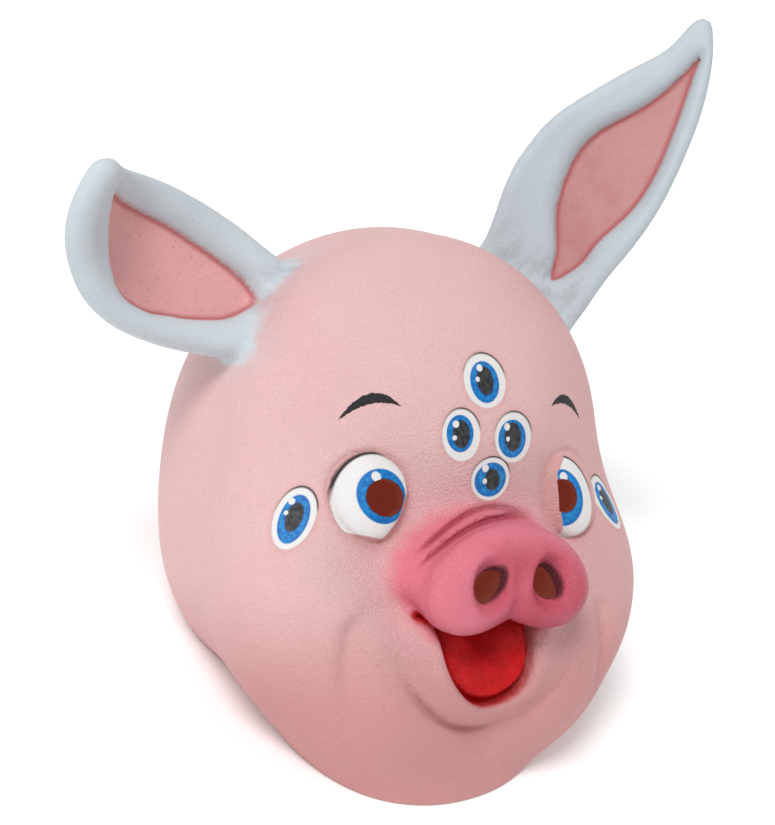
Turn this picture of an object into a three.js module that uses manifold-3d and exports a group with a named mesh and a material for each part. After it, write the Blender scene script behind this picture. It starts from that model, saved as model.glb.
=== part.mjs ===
// A full-head pig mask moulded in soft rubber, lying on the rim of its neck opening with the snout tipped up.
// Millimetres, +Z up. The face looks toward -Y and the pig's left side is +X.
// The face is sculpted in its own upright frame first: x to the pig's left, f forward, z up.
// The upright sculpt is then tipped back until the neck rim lies flat on the ground.
import * as THREE from "three";
import Module from "manifold-3d";

// Driving dimensions. SIZE turns the sculpt's millimetres into real ones, the rest are in the sculpt's.
const SIZE = 0.96;
const TILT = THREE.MathUtils.degToRad(33);
const RIM_Z = -97;
const WALL = 3.4;
// The snout and the mouth sit a little to the pig's right of the middle.
const MUZZLE_X = -2.7;
const SNOUT_FRONT = 109;
const EYE = { x: 58.5, z: 6, halfWidth: 19, halfHeight: 20, height: 6 };
// The holes to see through. The fold beside the nose cuts the left one straight at cutAt.
const PUPILS = [
  { x: -55.1, z: 5.9, halfWidth: 9.7, halfHeight: 8.5, cutAt: -90 },
  { x: 49.9, z: 4, halfWidth: 7.7, halfHeight: 8.2, cutAt: 47 },
];
const NOSTRIL = { middle: -1.4, x: 16.6, z: -34.6, halfWidth: 5.8, halfHeight: 8.1, lean: 20 };
const EAR_LENGTH = 172;
const RIM_ROLL = 9;

const clamp = (v) => Math.min(1, Math.max(0, v));

// A soft step from 0 at v = a to 1 at v = b.
function step(a, b, v) {
  const t = clamp((v - a) / (b - a));
  return t * t * (3 - 2 * t);
}

// A soft union and a soft intersection of two distances, blended over k.
function blend(a, b, k) {
  const h = Math.max(k - Math.abs(a - b), 0) / k;
  return Math.min(a, b) - (h * h * k) / 4;
}
const meet = (a, b, k) => -blend(-a, -b, k);

// Distance to an ellipsoid with centre c and radii r.
function egg(x, f, z, c, r) {
  const X = (x - c[0]) / r[0];
  const F = (f - c[1]) / r[1];
  const Z = (z - c[2]) / r[2];
  const near = Math.hypot(X, F, Z) + 1e-9;
  const slope = Math.hypot(X / r[0], F / r[1], Z / r[2]) + 1e-9;
  return (near * (near - 1)) / slope;
}

// Distance to an ellipse in the x, z plane.
function oval(x, z, c, r) {
  const X = (x - c[0]) / r[0];
  const Z = (z - c[1]) / r[1];
  const near = Math.hypot(X, Z) + 1e-9;
  const slope = Math.hypot(X / r[0], Z / r[1]) + 1e-9;
  return (near * (near - 1)) / slope;
}

// Distance to a line segment in the x, z plane.
function stroke(x, z, a, b) {
  const bx = b[0] - a[0];
  const bz = b[1] - a[1];
  const h = clamp(((x - a[0]) * bx + (z - a[1]) * bz) / (bx * bx + bz * bz));
  return Math.hypot(x - a[0] - bx * h, z - a[1] - bz * h);
}

const bump = (v, width) => Math.exp(-((v / width) ** 2));

// Crown, back of the head, brow, cheeks, chin and jowls run into one smooth head.
function skull(x, f, z) {
  const ax = Math.sqrt(x * x + 100);
  let d = egg(x, f, z, [0, -22, 42], [103, 94.5, 89.5]);
  d = blend(d, egg(x, f, z, [0, -37, -27.5], [105, 56.5, 76.5]), 60);
  d = blend(d, egg(x, f, z, [0, 14.5, 25.5], [85.5, 30, 86]), 70);
  d = blend(d, egg(ax, f, z, [79, 36, -47.5], [34, 34, 40]), 55);
  d = blend(d, egg(x, f, z, [-9, 40.5, -103], [47, 28, 94]), 45);
  d = blend(d, egg(ax, f, z, [45.5, 42.5, -86], [28, 34.5, 28]), 50);
  return d;
}

// The eyeballs stand over the skin, with a soft hollow toward the nose.
function eyes(x, f, z) {
  const ax = Math.abs(x);
  const rho = Math.hypot((ax - EYE.x) / EYE.halfWidth, (z - EYE.z) / EYE.halfHeight);
  const ball = EYE.height * Math.sqrt(Math.max(1 - rho * rho, 0));
  const hollow = 2 * Math.exp(-(((ax - 47) / 17) ** 2 + ((z - 14) / 22) ** 2));
  return (ball - hollow) * step(20, 40, f);
}

// The jaw round the mouth stands over the face, highest under the lower lip.
function muzzle(x, f, z) {
  const e = oval(x - MUZZLE_X, z, [0, -56], [53, 47]);
  const low = step(-66, -92, z);
  const t = clamp(-e / (26 - 14 * low));
  return (3 + 3 * low) * t * t * (3 - 2 * t) * step(-36, -54, z) * step(20, 40, f);
}

// The smile's crease, from the corner of the mouth round the jowl.
function smile(x, f, z) {
  const hook = bump(stroke(Math.abs(x), z, [46, -43], [66, -46]), 5.5);
  const fade = step(-42, -54, z) * (1 - 0.75 * step(-66, -112, z));
  const ring = bump(oval(x, z, [0, -68], [75, 62]), 6.5) * fade;
  return Math.max(hook, 1.8 * ring) * step(20, 40, f);
}

// The outline of the open mouth, seen from the front.
function mouthOutline(x, z) {
  const ax = Math.abs(x - MUZZLE_X + 1.5);
  return blend(oval(ax, z, [0, -66], [26.5, 26]), stroke(ax, z, [0, -50], [39, -48]) - 1, 24);
}

// How far forward the skin stands round the mouth.
const mouthFront = (z) => 85 - 0.006 * (z + 80) ** 2;

// The mouth is a shallow hollow, deeper toward the middle of its top.
function mouthRecess(x, f, z) {
  const middle = bump(x - MUZZLE_X, 24);
  const floor = mouthFront(z) - 5 - 3 * middle - 11 * step(-72, -50, z) * middle;
  return meet(mouthOutline(x, z), floor - f, 9);
}

// The tongue fills the mouth but for a narrow gutter, and dips at the top of its middle.
function tongue(x, f, z) {
  const middle = 10 * step(-78, -54, z) * bump(x - MUZZLE_X, 9);
  const front = mouthFront(z) - 2.6 - middle - 5 * step(-62, -48, z) + 1.5 * bump(z + 78, 9);
  const body = meet(mouthOutline(x, z) + 4, f - front, 8);
  return meet(body, mouthFront(z) - 30 - f, 1);
}

// The snout: a two-lobed disc on a short trunk that flares into the face, with two folds over its top.
function snout(x, f, z, folds) {
  const mx = x - MUZZLE_X;
  const top = oval(mx, z, [0, -27.5], [33, 21.5]);
  const disc = blend(top, oval(Math.abs(mx), z, [24.5, -38.5], [21, 18.5]), 16);
  const upper = step(-36, -12, z);
  const ridge = folds * upper * (1.3 * bump(f - 81.5, 3.4) + 1.2 * bump(f - 73, 4));
  const flare = (-0.42 + 0.72 * step(-50, -28, z)) * Math.max(92 - f, 0);
  const neck = (1 + 1.4 * upper) * step(103, 92, f);
  const edge = 11;
  const side = disc + neck - flare - ridge + edge;
  const front = f - (SNOUT_FRONT + 0.08 * (z + 34)) + edge;
  const round = Math.hypot(Math.max(side, 0), Math.max(front, 0));
  return meet(round + Math.min(Math.max(side, front), 0) - edge, 45 - f, 4);
}

function nostrilDip(x, f, z) {
  return egg(Math.abs(x - MUZZLE_X), f, z, [17, 112, -34], [9, 13, 12.5]);
}

// The head without ears.
function head(x, f, z) {
  let d = skull(x, f, z) - muzzle(x, f, z) + smile(x, f, z) - eyes(x, f, z);
  d = meet(d, -mouthRecess(x, f, z), 5);
  d = blend(d, tongue(x, f, z), 9);
  d = blend(d, snout(x, f, z, 1), 4 + 8 * step(-50, -25, z));
  return meet(d, -nostrilDip(x, f, z), 5);
}

// The plainer shape that the inside follows, one wall further in. It passes behind the mouth and the tongue.
function lining(x, f, z) {
  let d = blend(skull(x, f, z) - eyes(x, f, z), snout(x, f, z, 0), 5);
  d = meet(d, 3.5 - mouthRecess(x, f, z), 10);
  return meet(d, -nostrilDip(x, f, z), 6);
}

// Height over the plane of the neck rim.
const overRim = (f, z) => (z - RIM_Z) * Math.cos(TILT) + f * Math.sin(TILT);

const outside = (x, f, z) => Math.max(head(x, f, z), -overRim(f, z) - 8);
const inside = (x, f, z) => Math.max(lining(x, f, z) + WALL, -overRim(f, z) - 16);

// Grid lines from the first stop to the last, with a spacing for each stretch.
function gridLines(stops, spacings) {
  const lines = [stops[0]];
  for (let i = 0; i < spacings.length; i++) {
    const n = Math.round((stops[i + 1] - stops[i]) / spacings[i]);
    for (let k = 1; k <= n; k++) {
      lines.push(stops[i] + ((stops[i + 1] - stops[i]) * k) / n);
    }
  }
  return lines;
}

// Slides a point onto the surface where the distance is zero, by at most reach.
function settle(point, field, reach) {
  let [x, f, z] = point;
  for (let i = 0; i < 4; i++) {
    const e = 0.3;
    const d = field(x, f, z);
    const gx = (field(x + e, f, z) - field(x - e, f, z)) / (2 * e);
    const gf = (field(x, f + e, z) - field(x, f - e, z)) / (2 * e);
    const gz = (field(x, f, z + e) - field(x, f, z - e)) / (2 * e);
    const g2 = Math.max(gx * gx + gf * gf + gz * gz, 0.05);
    x -= (d * gx) / g2;
    f -= (d * gf) / g2;
    z -= (d * gz) / g2;
  }
  const moved = Math.hypot(x - point[0], f - point[1], z - point[2]);
  const keep = moved > reach ? reach / moved : 1;
  return [
    point[0] + (x - point[0]) * keep,
    point[1] + (f - point[1]) * keep,
    point[2] + (z - point[2]) * keep,
  ];
}

// The two axes beside each axis, and the four corners of a square.
const OTHERS = [[1, 2], [0, 2], [0, 1]];
const PAIRS = [[0, 0], [0, 1], [1, 0], [1, 1]];

const plus = (c, o) => [c[0] + o[0], c[1] + o[1], c[2] + o[2]];

// One of the twelve edges of a cell, from its axis and the offset of its start.
const edgeOf = (axis, o) => axis * 4 + o[OTHERS[axis][0]] * 2 + o[OTHERS[axis][1]];

function offset(axis, along, p, q) {
  const o = [0, 0, 0];
  o[axis] = along;
  o[OTHERS[axis][0]] = p;
  o[OTHERS[axis][1]] = q;
  return o;
}

// Calls visit with every corner of a grid from the first to one before the last, from a given start.
function eachCorner(size, start, end, visit) {
  for (let i = start; i < size[0] - end; i++)
    for (let j = start; j < size[1] - end; j++)
      for (let k = start; k < size[2] - end; k++) visit([i, j, k]);
}

// A field sampled at the corners of a grid.
function sampled(field, lines) {
  const size = lines.map((l) => l.length);
  const value = new Float64Array(size[0] * size[1] * size[2]);
  const at = (c) => (c[0] * size[1] + c[1]) * size[2] + c[2];
  eachCorner(size, 0, 0, (c) => {
    value[at(c)] = field(lines[0][c[0]], lines[1][c[1]], lines[2][c[2]]);
  });
  const inside = (c) => value[at(c)] < 0;
  const faceKey = (axis, c) => axis * value.length + at(c);
  return { lines, size, value, at, inside, faceKey, turned: new Set() };
}

// The lines on a cell's face, as pairs of crossed edges. Where a face is crossed four times there are two lines,
// and each joins the edges beside one corner.
function linesOnFace(grid, axis, c, side) {
  const [b, d] = OTHERS[axis];
  const corner = (p, q) => grid.inside(plus(c, offset(axis, side, p, q)));
  const along = (m, p, q) => {
    const o = offset(axis, side, p, q);
    o[m] = 0;
    return edgeOf(m, o);
  };
  const crossed = [];
  if (corner(0, 0) !== corner(1, 0)) crossed.push(along(b, 0, 0));
  if (corner(0, 1) !== corner(1, 1)) crossed.push(along(b, 0, 1));
  if (corner(0, 0) !== corner(0, 1)) crossed.push(along(d, 0, 0));
  if (corner(1, 0) !== corner(1, 1)) crossed.push(along(d, 1, 0));
  if (crossed.length < 4) return crossed.length === 2 ? [crossed] : [];
  const key = grid.faceKey(axis, plus(c, offset(axis, side, 0, 0)));
  const first = corner(0, 0) !== grid.turned.has(key);
  const corners = first ? [[0, 0], [1, 1]] : [[0, 1], [1, 0]];
  return corners.map(([p, q]) => [along(b, 0, q), along(d, p, 0)]);
}

// Which sheet each crossed edge of a cell lies on.
function sheetsOf(grid, c) {
  const sheet = new Int8Array(12).fill(-1);
  for (let axis = 0; axis < 3; axis++)
    for (const [p, q] of PAIRS) {
      const o = offset(axis, 0, p, q);
      const far = offset(axis, 1, p, q);
      if (grid.inside(plus(c, o)) !== grid.inside(plus(c, far))) sheet[edgeOf(axis, o)] = edgeOf(axis, o);
    }
  for (let axis = 0; axis < 3; axis++)
    for (const side of [0, 1])
      for (const [e1, e2] of linesOnFace(grid, axis, c, side)) {
        const [s1, s2] = [sheet[e1], sheet[e2]];
        for (let e = 0; e < 12; e++) if (sheet[e] === s2) sheet[e] = s1;
      }
  return sheet;
}

// The cells that the surface passes through.
function crossedCells(grid) {
  const cells = new Map();
  eachCorner(grid.size, 0, 1, (c) => {
    const sheet = sheetsOf(grid, c);
    if (sheet.some((v) => v >= 0)) cells.set(grid.at(c), { c, sheet });
  });
  return cells;
}

// A face whose two lines lie on one sheet in both its cells is turned, so that the sheets part there.
function partSheets(grid, cells) {
  let changed = false;
  for (const cell of cells.values())
    for (let axis = 0; axis < 3; axis++) {
      const next = plus(cell.c, offset(axis, 1, 0, 0));
      const beyond = cells.get(grid.at(next));
      const both = linesOnFace(grid, axis, cell.c, 1);
      if (both.length < 2 || !beyond) continue;
      const there = linesOnFace(grid, axis, next, 0);
      const one = cell.sheet[both[0][0]] === cell.sheet[both[1][0]];
      const other = beyond.sheet[there[0][0]] === beyond.sheet[there[1][0]];
      if (!one || !other || grid.turned.has(grid.faceKey(axis, next))) continue;
      grid.turned.add(grid.faceKey(axis, next));
      cell.sheet = sheetsOf(grid, cell.c);
      beyond.sheet = sheetsOf(grid, next);
      changed = true;
    }
  return changed;
}

// The middle of the points where one sheet of a cell crosses the cell's edges.
function middleOf(grid, cell, s) {
  const sum = [0, 0, 0];
  let count = 0;
  for (let axis = 0; axis < 3; axis++)
    for (const [p, q] of PAIRS) {
      const o = offset(axis, 0, p, q);
      if (cell.sheet[edgeOf(axis, o)] !== s) continue;
      const from = plus(cell.c, o);
      const to = plus(cell.c, offset(axis, 1, p, q));
      const t = grid.value[grid.at(from)] / (grid.value[grid.at(from)] - grid.value[grid.at(to)]);
      for (let n = 0; n < 3; n++) {
        const line = grid.lines[n];
        sum[n] += line[from[n]] + (line[to[n]] - line[from[n]]) * t;
      }
      count++;
    }
  return sum.map((v) => v / count);
}

// Gives each sheet of each cell one vertex.
function placeVertices(grid, cells, field) {
  const points = [];
  for (const cell of cells.values()) {
    cell.vertex = new Int32Array(12).fill(-1);
    for (const s of new Set(cell.sheet)) {
      if (s < 0) continue;
      for (let e = 0; e < 12; e++) if (cell.sheet[e] === s) cell.vertex[e] = points.length;
      points.push(settle(middleOf(grid, cell, s), field, 2));
    }
  }
  return points;
}

// Two triangles for each crossed grid edge, over the shorter diagonal.
function facesOf(grid, cells, points) {
  const triangles = [];
  const apart = (a, b) => Math.hypot(...points[a].map((v, n) => v - points[b][n]));
  eachCorner(grid.size, 1, 1, (c) => {
    for (let axis = 0; axis < 3; axis++) {
      const here = grid.inside(c);
      if (here === grid.inside(plus(c, offset(axis, 1, 0, 0)))) continue;
      const round = [[1, 1], [0, 1], [0, 0], [1, 0]].map(([p, q]) => {
        const o = offset(axis, 0, p, q);
        return cells.get(grid.at(plus(c, o.map((v) => -v)))).vertex[edgeOf(axis, o)];
      });
      if (here === (axis === 1)) round.reverse();
      const [u, v, w, x] = round;
      if (apart(u, w) < apart(v, x)) triangles.push([u, v, w], [u, w, x]);
      else triangles.push([u, v, x], [v, w, x]);
    }
  });
  return triangles;
}

// The closed surface where a field changes sign. Each grid cell gets one vertex for every sheet that passes
// through it, and each crossed grid edge one quad. Two sheets in one cell stay apart, so the surface never
// meets itself.
function surfaceOf(field, xs, fs, zs) {
  const grid = sampled(field, [xs, fs, zs]);
  const cells = crossedCells(grid);
  for (let round = 0; round < 4; round++) if (!partSheets(grid, cells)) break;
  const points = placeVertices(grid, cells, field);
  return { points, triangles: facesOf(grid, cells, points) };
}

// Each ear: its root, the way it grows, the way its hollow side looks, and how it cups, twists and curls.
// The outline and the sunk panel are drawn on the flat ear, across it and along it.
const EARS = [
  {
    root: [83, -2.5, 112],
    along: [0.425, 0.363, 0.829],
    front: [-0.662, 0.749, 0.011],
    side: -1,
    size: 1,
    cup: 8.5,
    twist: 0,
    bend: 0,
    curl: [0, 0],
    thickness: [7, 6, 0],
    outline: [
      [-28, -22], [-31, 12], [-38, 42], [-39.5, 62], [-35.5, 89], [-19, 125.5], [-7, 148], [-3, 168],
      [2, 173], [8, 170], [19, 152.5], [29, 126], [36.5, 90], [38.5, 62], [36, 32], [28, -22],
    ],
    panel: [
      [11, 12], [4, 27], [-9, 47], [-15.5, 72], [-13, 92], [0, 117], [7, 138],
      [10.5, 155], [13.5, 144], [21, 116], [26.5, 88], [26.5, 66], [21, 43], [19.5, 27],
    ],
  },
  {
    root: [-72, 8, 92],
    along: [-0.953, -0.11, 0.284],
    front: [-0.01, 0.944, 0.331],
    side: 1,
    size: 0.976,
    cup: 5.7,
    twist: -15,
    bend: 0.8,
    curl: [0.004, 0.017],
    thickness: [7.5, 6.5, 2.5],
    outline: [
      [-26, -20], [-26, 2], [-29.5, 18], [-33.5, 36], [-35, 58], [-33.5, 82], [-29, 103],
      [-20.5, 126], [-12.5, 145], [-6, 155.5], [2, 155.5], [13, 147.5], [23, 134.5], [30.5, 119],
      [37, 106], [41, 91], [42, 77], [40.5, 59], [37, 40], [32, 15], [29, -20],
    ],
    panel: [
      [-0.5, 16], [-7, 19], [-12, 28], [-15.2, 42], [-17.6, 64], [-17.2, 85], [-14, 104], [-9, 126],
      [-3, 120.5], [5.5, 112], [16.5, 102.5], [26.5, 91], [28.5, 75], [25.5, 62], [21.5, 48.5],
      [14.5, 31], [5.5, 20],
    ],
  },
];
const CURL_CHANGES_AT = 83;

// A closed smooth line through the given points.
function smoothLoop(points) {
  const stops = points.map(([x, y]) => new THREE.Vector3(x, y, 0));
  return new THREE.CatmullRomCurve3(stops, true, "catmullrom", 0.5).getPoints(points.length * 5);
}

// Distance to a closed outline, negative inside it.
function toLoop(x, y, loop) {
  let best = Infinity;
  let inner = false;
  for (let i = 0; i + 1 < loop.length; i++) {
    const [a, b] = [loop[i], loop[i + 1]];
    const h = clamp(((x - a.x) * (b.x - a.x) + (y - a.y) * (b.y - a.y)) / a.distanceToSquared(b));
    best = Math.min(best, Math.hypot(x - a.x - (b.x - a.x) * h, y - a.y - (b.y - a.y) * h));
    if (a.y > y !== b.y > y && x < a.x + ((b.x - a.x) * (y - a.y)) / (b.y - a.y)) inner = !inner;
  }
  return inner ? -best : best;
}

// The lowest and the highest x where a closed outline crosses a height y, or nothing.
function crossings(loop, y) {
  const found = [];
  for (let i = 0; i + 1 < loop.length; i++) {
    const [a, b] = [loop[i], loop[i + 1]];
    if (a.y > y !== b.y > y) found.push(a.x + ((b.x - a.x) * (y - a.y)) / (b.y - a.y));
  }
  return found.length ? [Math.min(...found), Math.max(...found)] : null;
}

// Takes a point of the flat ear into the upright sculpt: across, along, and out of its hollow side.
function bendEar(ear, across, t, out) {
  const along = new THREE.Vector3(...ear.along).normalize();
  const front = new THREE.Vector3(...ear.front);
  front.addScaledVector(along, -front.dot(along)).normalize();
  const lateral = new THREE.Vector3().crossVectors(along, front).multiplyScalar(ear.side);
  const rise = out + ear.cup * (across / 40) ** 2 + (ear.twist * across * t) / 40 / EAR_LENGTH;
  const arc = (k, length, height) => {
    if (Math.abs(k) < 1e-6) return [length, height];
    return [(1 / k - height) * Math.sin(length * k), 1 / k - (1 / k - height) * Math.cos(length * k)];
  };
  let [y, z] = arc(ear.curl[0], t, rise);
  if (t > CURL_CHANGES_AT && ear.curl[1] !== ear.curl[0]) {
    const turned = ear.curl[0] * CURL_CHANGES_AT;
    const [y0, z0] = arc(ear.curl[0], CURL_CHANGES_AT, 0);
    const [y1, z1] = arc(ear.curl[1], t - CURL_CHANGES_AT, rise);
    y = y0 + y1 * Math.cos(turned) - z1 * Math.sin(turned);
    z = z0 + y1 * Math.sin(turned) + z1 * Math.cos(turned);
  }
  return new THREE.Vector3(...ear.root)
    .addScaledVector(lateral, (across + ear.bend * (Math.max(t, 0) / EAR_LENGTH) ** 2) * ear.size)
    .addScaledVector(along, y * ear.size)
    .addScaledVector(front, z * ear.size)
    .toArray();
}

// Half the ear's thickness. It thins toward the tip, and one ear is thicker at its root.
function earThickness(ear, t) {
  const [root, tip, more] = ear.thickness;
  return root + (tip - root) * step(90, 165, t) + more * step(45, 5, t);
}

// One loop round the ear: over the rolled rims and across the sunk panel, then back behind it.
function earLoop(ear, t) {
  const R = earThickness(ear, t);
  const [low, high] = crossings(ear.edge, t);
  const middle = (low + high) / 2;
  const least = 0.05 * (high - low);
  const [from, to] = crossings(ear.sunk, t) ?? [middle - least, middle + least];
  const round = (x) => R * Math.sqrt(1 - clamp(1 + toLoop(x, t, ear.edge) / R) ** 2);
  const front = (x) => Math.min(round(x), R * Math.sqrt(1 - clamp(1 - toLoop(x, t, ear.sunk) / RIM_ROLL) ** 2));
  const stops = [0.1, 0.32, 0.58, 0.85, 1];
  const loop = [[low, 0]];
  for (const s of stops) loop.push([low + s * (from - low), front(low + s * (from - low))]);
  for (const s of [0.25, 0.5, 0.75]) loop.push([from + s * (to - from), front(from + s * (to - from))]);
  for (const s of stops.toReversed()) loop.push([high - s * (high - to), front(high - s * (high - to))]);
  loop.push([high, 0]);
  const side = Math.min(R, 0.4 * (high - low));
  for (const s of [0.25, 1]) loop.push([high - s * side, -round(high - s * side)]);
  for (const s of [0.8, 0.5, 0.2]) {
    const x = low + side + s * (high - low - 2 * side);
    loop.push([x, -round(x)]);
  }
  for (const s of [1, 0.25]) loop.push([low + s * side, -round(low + s * side)]);
  return loop.map(([across, out]) => bendEar(ear, across, t, out));
}

// Rings along the ear, closer together near its tip.
function earRings(tip) {
  const lower = [-20, -6, 5, 12.5, 19, 27, 37, 48, 60, 72, 84, 95, 106].filter((t) => t < tip - 60);
  const upper = [56, 46, 37, 29, 22, 16, 11, 7, 4, 2].map((before) => tip - before);
  return [...lower, ...upper];
}

function earSurface(ear) {
  ear.edge = smoothLoop(ear.outline);
  ear.sunk = smoothLoop(ear.panel);
  const end = ear.edge.reduce((a, b) => (b.y > a.y ? b : a));
  const rings = earRings(end.y);
  const points = [];
  const triangles = [];
  for (const t of rings) points.push(...earLoop(ear, t));
  const n = points.length / rings.length;
  for (let r = 0; r + 1 < rings.length; r++)
    for (let i = 0; i < n; i++) {
      const a = r * n + i;
      const b = r * n + ((i + 1) % n);
      triangles.push([a, b, b + n], [a, b + n, a + n]);
    }
  const root = points.push(bendEar(ear, 0, rings[0], 0)) - 1;
  const tip = points.push(bendEar(ear, end.x, end.y, 0)) - 1;
  const last = (rings.length - 1) * n;
  for (let i = 0; i < n; i++) {
    const next = (i + 1) % n;
    triangles.push([root, next, i], [tip, last + i, last + next]);
  }
  return { points, triangles };
}

// From the upright sculpt to the real mask at rest on its neck rim.
const atRest = new THREE.Matrix4()
  .makeScale(SIZE, SIZE, SIZE)
  .multiply(new THREE.Matrix4().makeTranslation(0, 0, -RIM_Z * Math.cos(TILT)))
  .multiply(new THREE.Matrix4().makeRotationX(-TILT))
  .multiply(new THREE.Matrix4().set(1, 0, 0, 0, 0, -1, 0, 0, 0, 0, 1, 0, 0, 0, 0, 1));

const wasm = await Module();
wasm.setup();

function solidFrom({ points, triangles }) {
  const flat = points.flatMap((p) => new THREE.Vector3(...p).applyMatrix4(atRest).toArray());
  const make = (list) =>
    new wasm.Manifold(
      new wasm.Mesh({
        numProp: 3,
        vertProperties: new Float32Array(flat),
        triVerts: new Uint32Array(list.flat()),
      }),
    );
  const made = make(triangles);
  return made.volume() > 0 ? made : make(triangles.map(([a, b, c]) => [a, c, b]));
}

// A three.js geometry, placed by a matrix, as a solid to cut with.
function cutterFrom(geometry, matrix) {
  const flat = geometry.toNonIndexed().applyMatrix4(matrix).attributes.position.array;
  const seen = new Map();
  const points = [];
  const index = [];
  for (let i = 0; i < flat.length; i += 3) {
    const key = [flat[i], flat[i + 1], flat[i + 2]].map((v) => v.toFixed(3)).join();
    if (!seen.has(key)) seen.set(key, points.push(flat[i], flat[i + 1], flat[i + 2]) / 3 - 1);
    index.push(seen.get(key));
  }
  const triangles = [];
  for (let i = 0; i < index.length; i += 3) {
    const [a, b, c] = index.slice(i, i + 3);
    if (a !== b && b !== c && a !== c) triangles.push(a, b, c);
  }
  return new wasm.Manifold(
    new wasm.Mesh({
      numProp: 3,
      vertProperties: new Float32Array(points),
      triVerts: new Uint32Array(triangles),
    }),
  );
}

// Turns the sculpt's forward into the plain frame's -Y.
const upright = new THREE.Matrix4().makeScale(1, -1, 1);

// A round or oval hole through the front wall, along f.
function frontHole(x, z, halfWidth, halfHeight, lean, from, to) {
  const rod = new THREE.CylinderGeometry(1, 1, to - from, 28);
  const place = new THREE.Matrix4()
    .makeTranslation(x, -(from + to) / 2, z)
    .multiply(new THREE.Matrix4().makeRotationY(THREE.MathUtils.degToRad(lean)))
    .multiply(new THREE.Matrix4().makeScale(halfWidth, 1, halfHeight));
  return cutterFrom(rod, atRest.clone().multiply(upright).multiply(place));
}

// A hole to see through, cut straight at the fold beside the nose.
function pupilHole({ x, z, halfWidth, halfHeight, cutAt }) {
  const kept = new THREE.BoxGeometry(200, 200, 200);
  const place = new THREE.Matrix4().makeTranslation(cutAt + 100, -70, z);
  const fold = cutterFrom(kept, atRest.clone().multiply(upright).multiply(place));
  return frontHole(x, z, halfWidth, halfHeight, 0, 40, 100).intersect(fold);
}

function maskSolid() {
  const skin = surfaceOf(
    outside,
    gridLines([-136, -60, 60, 136], [12.7, 7.5, 12.7]),
    gridLines([-144, 0, 60, 120], [18, 12, 7.1]),
    gridLines([-172, -102, 26, 154], [14, 7.1, 16]),
  );
  const hollow = surfaceOf(
    inside,
    gridLines([-136, 136], [17]),
    gridLines([-144, 20, 120], [20.5, 14.3]),
    gridLines([-184, -108, 22, 154], [19, 13, 19]),
  );
  let solid = solidFrom(skin);
  for (const ear of EARS) solid = solid.add(solidFrom(earSurface(ear)));
  solid = solid.subtract(solidFrom(hollow));
  for (const pupil of PUPILS) solid = solid.subtract(pupilHole(pupil));
  for (const side of [-1, 1]) {
    const { middle, x, z, halfWidth, halfHeight, lean } = NOSTRIL;
    solid = solid.subtract(frontHole(middle + side * x, z, halfWidth, halfHeight, -side * lean, 84, 125));
  }
  const ground = new THREE.BoxGeometry(600, 600, 100);
  return solid.subtract(cutterFrom(ground, new THREE.Matrix4().makeTranslation(0, 0, -50)));
}

// Cuts leave slivers: an edge shorter than shortest is closed up where the surface stays one sheet.
function closeSlivers(points, triangles, shortest) {
  const facesAt = points.map(() => new Set());
  triangles.forEach((t, i) => t.forEach((v) => facesAt[v].add(i)));
  const around = (v) => {
    const out = new Set();
    for (const i of facesAt[v]) for (const w of triangles[i]) out.add(w);
    out.delete(v);
    return out;
  };
  const length = (a, b) => Math.hypot(...points[a].map((c, n) => c - points[b][n]));
  let again = true;
  while (again) {
    again = false;
    for (let i = 0; i < triangles.length; i++)
      for (let n = 0; n < 3; n++) {
        if (!triangles[i]) break;
        const keep = triangles[i][n];
        const drop = triangles[i][(n + 1) % 3];
        if (length(keep, drop) >= shortest) continue;
        const beside = around(keep);
        const shared = [...around(drop)].filter((v) => beside.has(v));
        if (shared.length !== 2) continue;
        for (const f of [...facesAt[drop]]) {
          const face = triangles[f];
          if (face.includes(keep)) {
            for (const v of face) facesAt[v].delete(f);
            triangles[f] = null;
          } else {
            triangles[f] = face.map((v) => (v === drop ? keep : v));
            facesAt[keep].add(f);
          }
        }
        facesAt[drop].clear();
        again = true;
        break;
      }
  }
  return triangles.filter(Boolean);
}

function geometryOf(solid) {
  const mesh = solid.getMesh();
  const points = [];
  for (let i = 0; i < mesh.numVert; i++) {
    points.push([...mesh.vertProperties.slice(i * mesh.numProp, i * mesh.numProp + 3)]);
  }
  const all = [];
  for (let i = 0; i < mesh.triVerts.length; i += 3) {
    all.push([...mesh.triVerts.slice(i, i + 3)]);
  }
  const triangles = closeSlivers(points, all, 0.25);
  const used = [...new Set(triangles.flat())];
  const newIndex = new Map(used.map((v, i) => [v, i]));
  const geometry = new THREE.BufferGeometry();
  const position = new Float32Array(used.flatMap((v) => points[v]));
  geometry.setAttribute("position", new THREE.BufferAttribute(position, 3));
  geometry.setIndex(triangles.flat().map((v) => newIndex.get(v)));
  geometry.computeBoundingBox();
  const { min, max } = geometry.boundingBox;
  geometry.translate(-(min.x + max.x) / 2, -(min.y + max.y) / 2, 0);
  geometry.computeVertexNormals();
  return geometry;
}

const pinkRubber = new THREE.MeshStandardMaterial({ color: 0xeebab4, roughness: 0.55, metalness: 0 });

const group = new THREE.Group();
const mask = new THREE.Mesh(geometryOf(maskSolid()), pinkRubber);
mask.name = "mask";
group.add(mask);

export default group;
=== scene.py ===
"""A full-head pig mask moulded in soft rubber and painted, lying on the rim of its neck opening.

The skin is one closed mesh. It is sculpted as a distance field in the pig's own upright frame, in
millimetres: x to the pig's left, f forward, z up. The sculpt is then tipped back until the neck rim lies on
the floor.
"""

import functools
import itertools
import math

import bpy
import numpy as np
from mathutils import Matrix, Vector


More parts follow.
